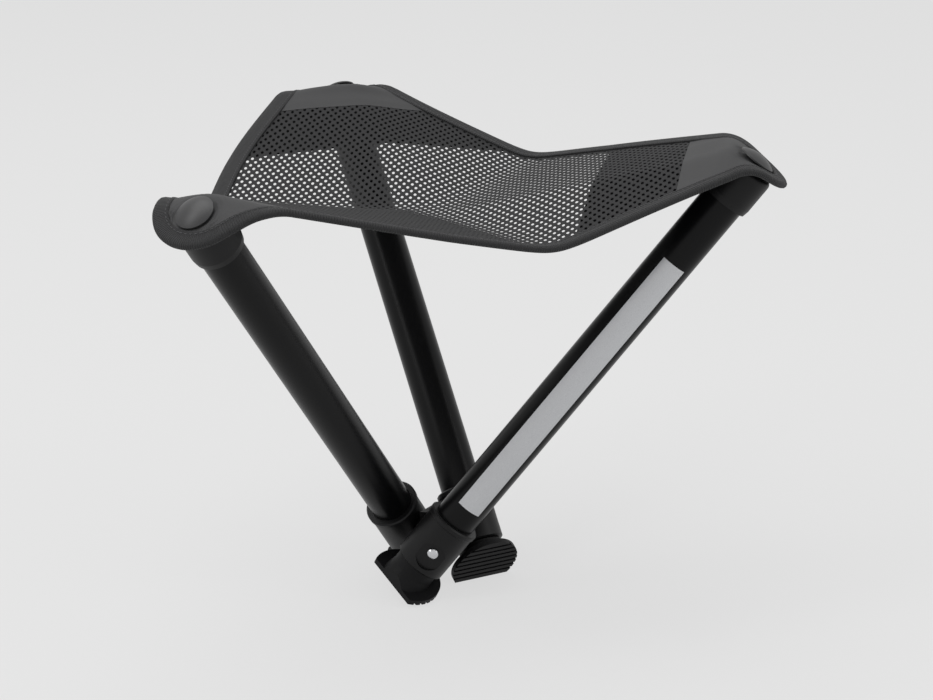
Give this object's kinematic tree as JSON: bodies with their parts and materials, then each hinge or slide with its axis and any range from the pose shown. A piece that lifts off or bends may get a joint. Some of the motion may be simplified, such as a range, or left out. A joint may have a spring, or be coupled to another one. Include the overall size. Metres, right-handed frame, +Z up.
{
  "type": "folding tripod stool",
  "caption": "Low folding tripod stool with a stretched triangular mesh seat, black telescopic tube legs crossing at a central hub, and turned rubber feet.",
  "frame": {"origin": "on the floor, under the hub's axis", "axes": "+Z up along the hub's axis; -Y along the pivot of the front right leg"},
  "size_m": [0.3336, 0.3534, 0.2714],
  "materials": {
    "black_tube": "satin black anodised",
    "inner_tube_metal": "satin black anodised",
    "black_plastic": "fine moulded texture",
    "guide_plastic": "plain moulded",
    "disc_plastic": "smooth moulded",
    "steel": "zinc plated",
    "button_metal": "polished",
    "foot_rubber": "matte ribbed",
    "label_metal": "brushed",
    "corner_fabric": "close woven",
    "seat_mesh": "knitted open mesh",
    "hem_webbing": "ribbed binding"
  },
  "bodies": {
    "hub": {"hub_core": "black_plastic", "hub_cap": "black_plastic", "pivot_pin_1": "steel", "pivot_washer_1": "steel", "pivot_pin_2": "steel", "pivot_washer_2": "steel", "pivot_pin_3": "steel", "pivot_washer_3": "steel"},
    "leg_1": {"upper_tube_1": "black_tube", "top_collar_1": "black_plastic", "seat_disc_1": "disc_plastic", "joint_sleeve_1": "black_plastic", "seat_corner_1": "corner_fabric", "metal_label": "label_metal"},
    "button_1": {"lock_button_1": "button_metal"},
    "guide_1": {"guide_cap_1": "guide_plastic"},
    "inner_1": {"inner_tube_1": "inner_tube_metal", "rubber_foot_1": "foot_rubber"},
    "seat_1a": {"seat_mesh_1a": "seat_mesh", "seat_hem_1a": "hem_webbing"},
    "seat_1b": {"seat_mesh_1b": "seat_mesh", "seat_hem_1b": "hem_webbing"},
    "leg_2": {"upper_tube_2": "black_tube", "top_collar_2": "black_plastic", "seat_disc_2": "disc_plastic", "joint_sleeve_2": "black_plastic", "seat_corner_2": "corner_fabric"},
    "button_2": {"lock_button_2": "button_metal"},
    "guide_2": {"guide_cap_2": "guide_plastic"},
    "inner_2": {"inner_tube_2": "inner_tube_metal", "rubber_foot_2": "foot_rubber"},
    "seat_2a": {"seat_mesh_2a": "seat_mesh", "seat_hem_2a": "hem_webbing"},
    "seat_2b": {"seat_mesh_2b": "seat_mesh", "seat_hem_2b": "hem_webbing"},
    "leg_3": {"upper_tube_3": "black_tube", "top_collar_3": "black_plastic", "seat_disc_3": "disc_plastic", "joint_sleeve_3": "black_plastic", "seat_corner_3": "corner_fabric"},
    "button_3": {"lock_button_3": "button_metal"},
    "guide_3": {"guide_cap_3": "guide_plastic"},
    "inner_3": {"inner_tube_3": "inner_tube_metal", "rubber_foot_3": "foot_rubber"},
    "seat_3a": {"seat_mesh_3a": "seat_mesh", "seat_hem_3a": "hem_webbing"},
    "seat_3b": {"seat_mesh_3b": "seat_mesh", "seat_hem_3b": "hem_webbing"}
  },
  "joints": [
    {"name": "leg_1_fold", "type": "hinge", "parent": "hub", "child": "leg_1", "pos_m": [0, 0, 0.03208], "axis": [0, -1, 0], "range_deg": [0, 36.5], "deforming": ["seat_corner_1", "seat_mesh_1a", "seat_hem_1a", "seat_mesh_1b", "seat_hem_1b", "seat_corner_2", "seat_mesh_2a", "seat_hem_2a", "seat_mesh_2b", "seat_hem_2b", "seat_corner_3", "seat_mesh_3a", "seat_hem_3a", "seat_mesh_3b", "seat_hem_3b"]},
    {"name": "button_1_press", "type": "slide", "parent": "leg_1", "child": "button_1", "axis": [0, 1, 0], "range_m": [0, 0.002], "stiffness_N_per_m": 400, "springref_m": -0.002},
    {"name": "leg_1_extend", "type": "slide", "parent": "leg_1", "child": "guide_1", "axis": [-0.6157, 0, -0.788], "range_m": [0, 0.224]},
    {"name": "foot_1_turn", "type": "hinge", "parent": "guide_1", "child": "inner_1", "pos_m": [0, -0.024, 0.03208], "axis": [-0.6157, 0, -0.788], "range_deg": [0, 50]},
    {"name": "seat_1a_fold", "type": "hinge", "parent": "leg_1", "child": "seat_1a", "pos_m": [0.17565, -0.01473, 0.25614], "axis": [-0.8594, -0.0951, -0.5024], "range_deg": [0, 125.18]},
    {"name": "seat_1b_fold", "type": "hinge", "parent": "leg_1", "child": "seat_1b", "pos_m": [0.17211, -0.01585, 0.25306], "axis": [-0.6818, -0.6182, -0.391], "range_deg": [0, 58.37]},
    {"name": "leg_2_fold", "type": "hinge", "parent": "hub", "child": "leg_2", "pos_m": [0, 0, 0.03208], "axis": [0.866, 0.5, 0], "range_deg": [0, 36.5]},
    {"name": "button_2_press", "type": "slide", "parent": "leg_2", "child": "button_2", "axis": [-0.866, -0.5, 0], "range_m": [0, 0.002], "stiffness_N_per_m": 400, "springref_m": -0.002},
    {"name": "leg_2_extend", "type": "slide", "parent": "leg_2", "child": "guide_2", "axis": [0.3078, -0.5332, -0.788], "range_m": [0, 0.224]},
    {"name": "foot_2_turn", "type": "hinge", "parent": "guide_2", "child": "inner_2", "pos_m": [0.02079, 0.012, 0.03208], "axis": [-0.3078, 0.5332, 0.788], "range_deg": [0, 180]},
    {"name": "seat_2a_fold", "type": "hinge", "parent": "leg_2", "child": "seat_2a", "pos_m": [-0.07506, 0.15948, 0.25614], "axis": [0.512, -0.6967, -0.5024], "range_deg": [0, 125.18]},
    {"name": "seat_2b_fold", "type": "hinge", "parent": "leg_2", "child": "seat_2b", "pos_m": [-0.07234, 0.15698, 0.25306], "axis": [0.8763, -0.2814, -0.391], "range_deg": [0, 58.37]},
    {"name": "leg_3_fold", "type": "hinge", "parent": "hub", "child": "leg_3", "pos_m": [0, 0, 0.03208], "axis": [-0.866, 0.5, 0], "range_deg": [0, 36.5]},
    {"name": "button_3_press", "type": "slide", "parent": "leg_3", "child": "button_3", "axis": [0.866, -0.5, 0], "range_m": [0, 0.002], "stiffness_N_per_m": 400, "springref_m": -0.002},
    {"name": "leg_3_extend", "type": "slide", "parent": "leg_3", "child": "guide_3", "axis": [0.3078, 0.5332, -0.788], "range_m": [0, 0.224]},
    {"name": "foot_3_turn", "type": "hinge", "parent": "guide_3", "child": "inner_3", "pos_m": [-0.02079, 0.012, 0.03208], "axis": [0.3078, 0.5332, -0.788], "range_deg": [0, 50]},
    {"name": "seat_3a_fold", "type": "hinge", "parent": "leg_3", "child": "seat_3a", "pos_m": [-0.10059, -0.14475, 0.25614], "axis": [0.3473, 0.7918, -0.5024], "range_deg": [0, 125.18]},
    {"name": "seat_3b_fold", "type": "hinge", "parent": "leg_3", "child": "seat_3b", "pos_m": [-0.09978, -0.14113, 0.25306], "axis": [-0.1945, 0.8996, -0.391], "range_deg": [0, 58.37]}
  ],
  "couplings": [
    {"joint": "foot_1_turn", "follows": "leg_1_extend", "rad_per_m": 3.8958},
    {"joint": "seat_1a_fold", "follows": "leg_1_fold", "ratio": 3.4295},
    {"joint": "seat_1b_fold", "follows": "leg_1_fold", "ratio": 1.5992},
    {"joint": "leg_2_fold", "follows": "leg_1_fold", "ratio": 1},
    {"joint": "foot_2_turn", "follows": "leg_2_extend", "rad_per_m": 14.025},
    {"joint": "seat_2a_fold", "follows": "leg_1_fold", "ratio": 3.4295},
    {"joint": "seat_2b_fold", "follows": "leg_1_fold", "ratio": 1.5992},
    {"joint": "leg_3_fold", "follows": "leg_1_fold", "ratio": 1},
    {"joint": "foot_3_turn", "follows": "leg_3_extend", "rad_per_m": 3.8958},
    {"joint": "seat_3a_fold", "follows": "leg_1_fold", "ratio": 3.4295},
    {"joint": "seat_3b_fold", "follows": "leg_1_fold", "ratio": 1.5992}
  ]
}
